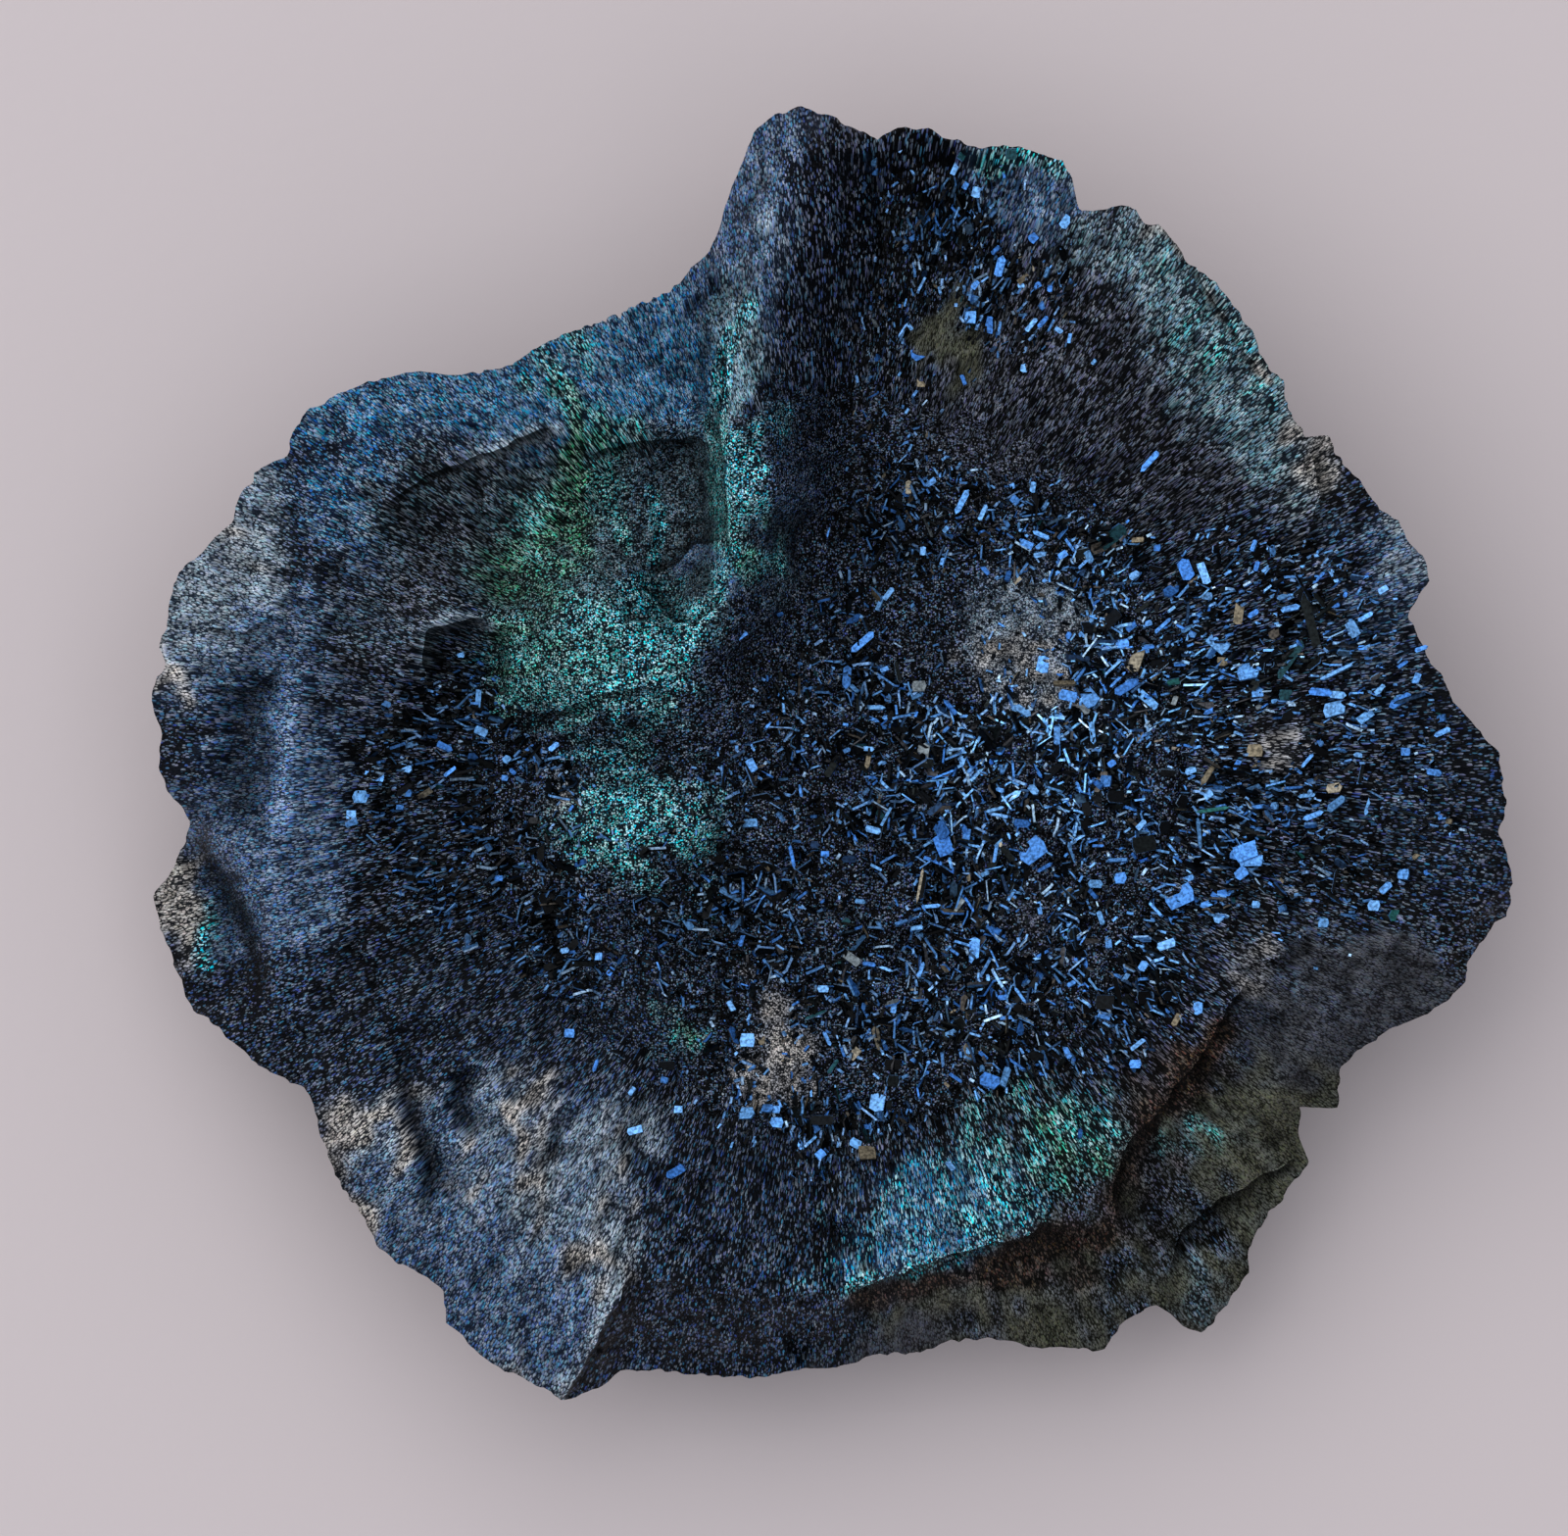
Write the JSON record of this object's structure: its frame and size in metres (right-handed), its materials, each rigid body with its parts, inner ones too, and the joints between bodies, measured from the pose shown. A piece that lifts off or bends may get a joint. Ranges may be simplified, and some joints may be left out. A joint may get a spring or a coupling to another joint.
{
  "type": "covellite mineral specimen",
  "caption": "Rough slab of massive covellite ore with a raised ridge and a broad hollow lined with metallic blue tabular crystals, lying on its broken back.",
  "frame": {"origin": "under the middle of the outline's box, on the plane the specimen rests on", "axes": "+Z out of the crystal face, +Y towards the ridge's peak, +X to the right of the face"},
  "size_m": [0.0905, 0.0858, 0.0331],
  "materials": {
    "massive covellite": "dull metallic, rough fracture",
    "covellite crystals": "metallic blue, bright flat faces"
  },
  "bodies": {
    "root": {"covellite_rock": "massive covellite", "crystal_crust": "covellite crystals"}
  },
  "joints": []
}
